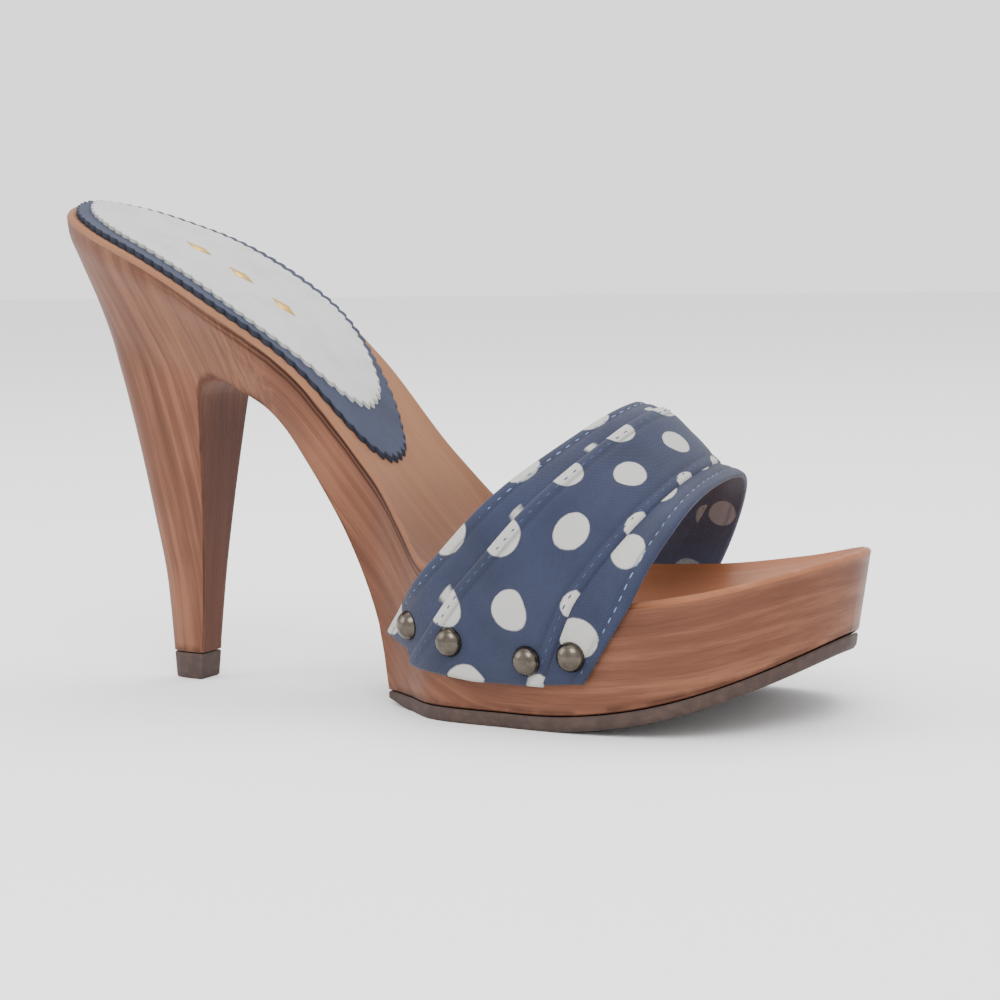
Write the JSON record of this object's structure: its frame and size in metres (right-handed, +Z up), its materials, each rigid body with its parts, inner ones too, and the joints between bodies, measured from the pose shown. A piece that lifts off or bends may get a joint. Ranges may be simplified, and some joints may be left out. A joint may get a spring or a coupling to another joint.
{
  "type": "platform mule",
  "caption": "High-heeled wooden platform mule for a right foot: carved one-piece sole with an open arch, heel pad and sock, and a wide dotted cloth strap nailed to both sides.",
  "frame": {"origin": "centre of the shoe's bounding box in plan, on the floor it stands on", "axes": "+X from the heel to the toe, +Y to the wearer's left, which is the inner side of this right shoe, +Z up"},
  "size_m": [0.222, 0.0906, 0.1298],
  "materials": {
    "sole_wood": "satin lacquer, fine lengthwise grain",
    "rubber": "matte",
    "heel_pad": "matte, pinked edge",
    "heel_sock": "smooth, pinked edge",
    "strap": "woven, off-white dots",
    "nail": "antiqued"
  },
  "bodies": {
    "root": {"sole_wood": "sole_wood", "outsole": "rubber", "heel_tip": "rubber", "heel_pad": "heel_pad", "heel_sock": "heel_sock", "strap": "strap", "nail_lateral_1": "nail", "nail_lateral_2": "nail", "nail_lateral_3": "nail", "nail_lateral_4": "nail", "nail_medial_1": "nail", "nail_medial_2": "nail", "nail_medial_3": "nail", "nail_medial_4": "nail"}
  },
  "joints": []
}
